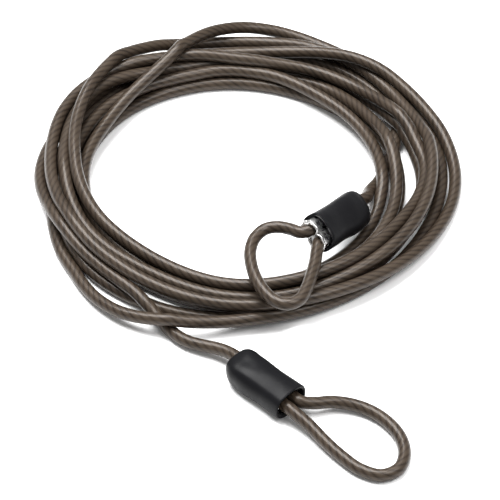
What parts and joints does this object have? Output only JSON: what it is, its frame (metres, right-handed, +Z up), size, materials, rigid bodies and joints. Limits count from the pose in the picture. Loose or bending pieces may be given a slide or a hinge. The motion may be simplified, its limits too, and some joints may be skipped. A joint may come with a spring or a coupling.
{
  "type": "double-loop security cable",
  "caption": "Coiled security cable: steel wire rope in a smoked vinyl jacket, with a crimped eye and a black moulded boot at each end.",
  "frame": {"origin": "centre of the footprint's bounding box, on the surface that the coil lies on", "axes": "+Z up, -Y from the coil towards the front eye, +X to the right of it"},
  "size_m": [0.172, 0.2515, 0.0271],
  "materials": {
    "jacket": "smoked translucent vinyl over wire rope, glossy",
    "rope": "galvanised strands",
    "ferrule": "crimped, bright",
    "boot": "soft moulded, satin"
  },
  "bodies": {
    "root": {"coil_jacket": "jacket", "coil_rope": "rope", "front_lead_jacket": "jacket", "front_lead_rope": "rope", "front_eye_jacket": "jacket", "front_eye_rope": "rope", "rear_lead_jacket": "jacket", "rear_lead_rope": "rope", "rear_eye_jacket": "jacket", "rear_eye_rope": "rope", "front_ferrule": "ferrule", "rear_ferrule": "ferrule", "front_boot": "boot", "rear_boot": "boot"}
  },
  "joints": []
}
